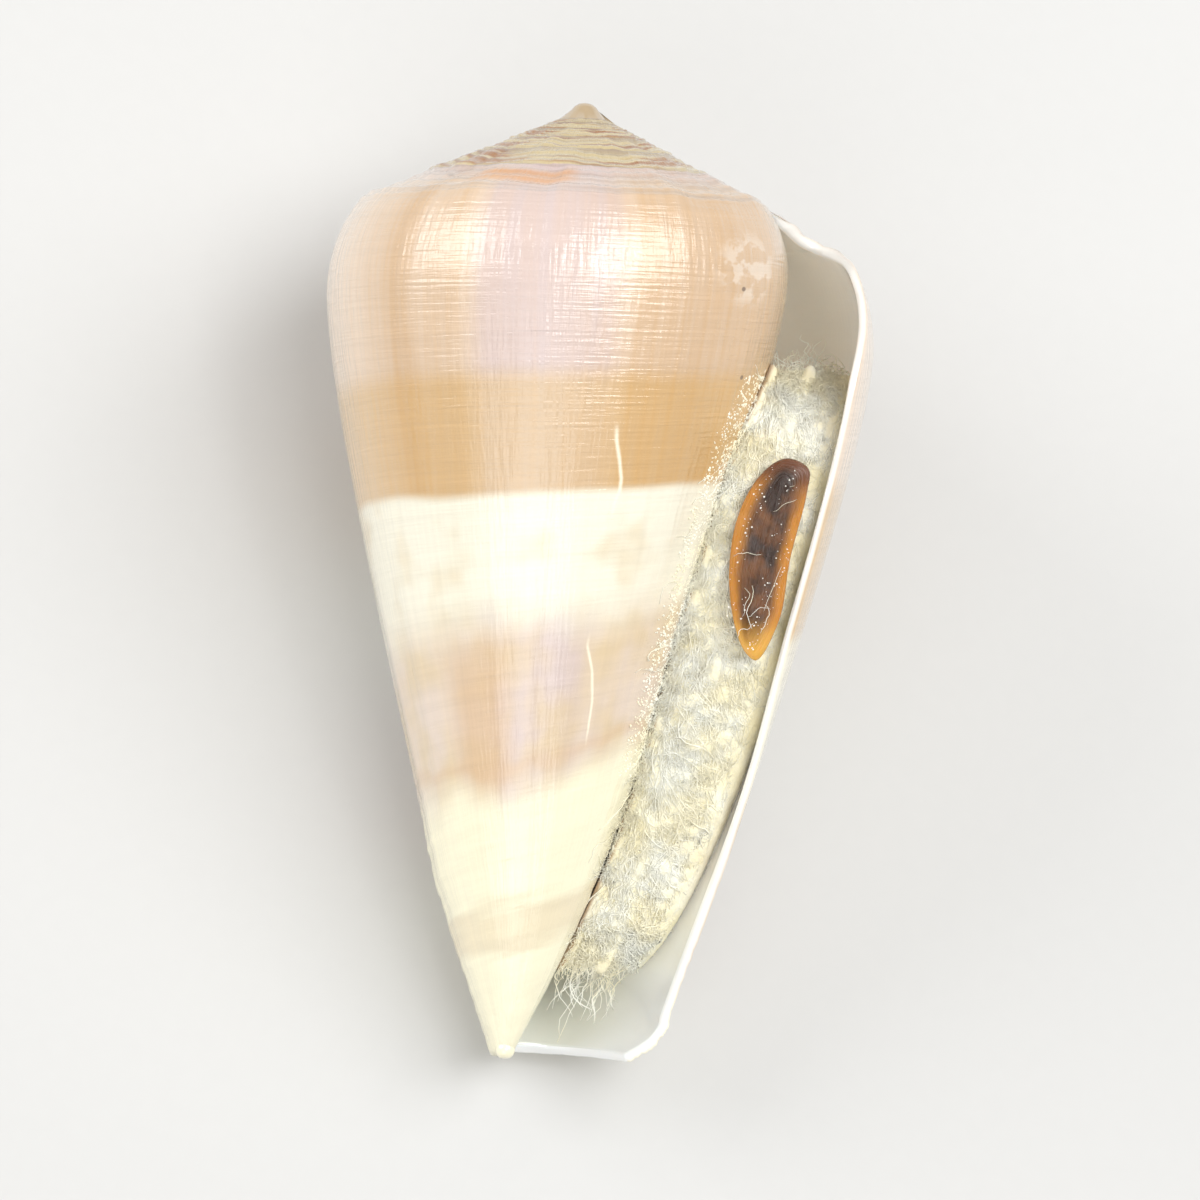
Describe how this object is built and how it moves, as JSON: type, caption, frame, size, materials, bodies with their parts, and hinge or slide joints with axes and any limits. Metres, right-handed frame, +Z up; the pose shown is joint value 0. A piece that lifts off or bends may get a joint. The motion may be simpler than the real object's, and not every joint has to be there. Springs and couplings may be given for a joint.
{
  "type": "cone shell",
  "caption": "Cone-shaped sea snail shell lying on its back, its long narrow aperture plugged with cotton wool that holds the horny operculum.",
  "frame": {"origin": "bottom centre of the bounding box, on the ground under the shell's back", "axes": "+Z up, the side the aperture faces; +Y in plan along the coiling axis towards the spire; +X towards the outer lip"},
  "size_m": [0.0296, 0.0508, 0.0271],
  "materials": {
    "shell": "glossy porcelain-like aragonite, cream with tan spiral bands, fine spiral threads and growth lines",
    "cotton": "loose off-white cotton wool with stray fibres",
    "operculum": "translucent brown horn, amber at the rim"
  },
  "bodies": {
    "root": {"shell": "shell", "cotton": "cotton", "operculum": "operculum"}
  },
  "joints": []
}
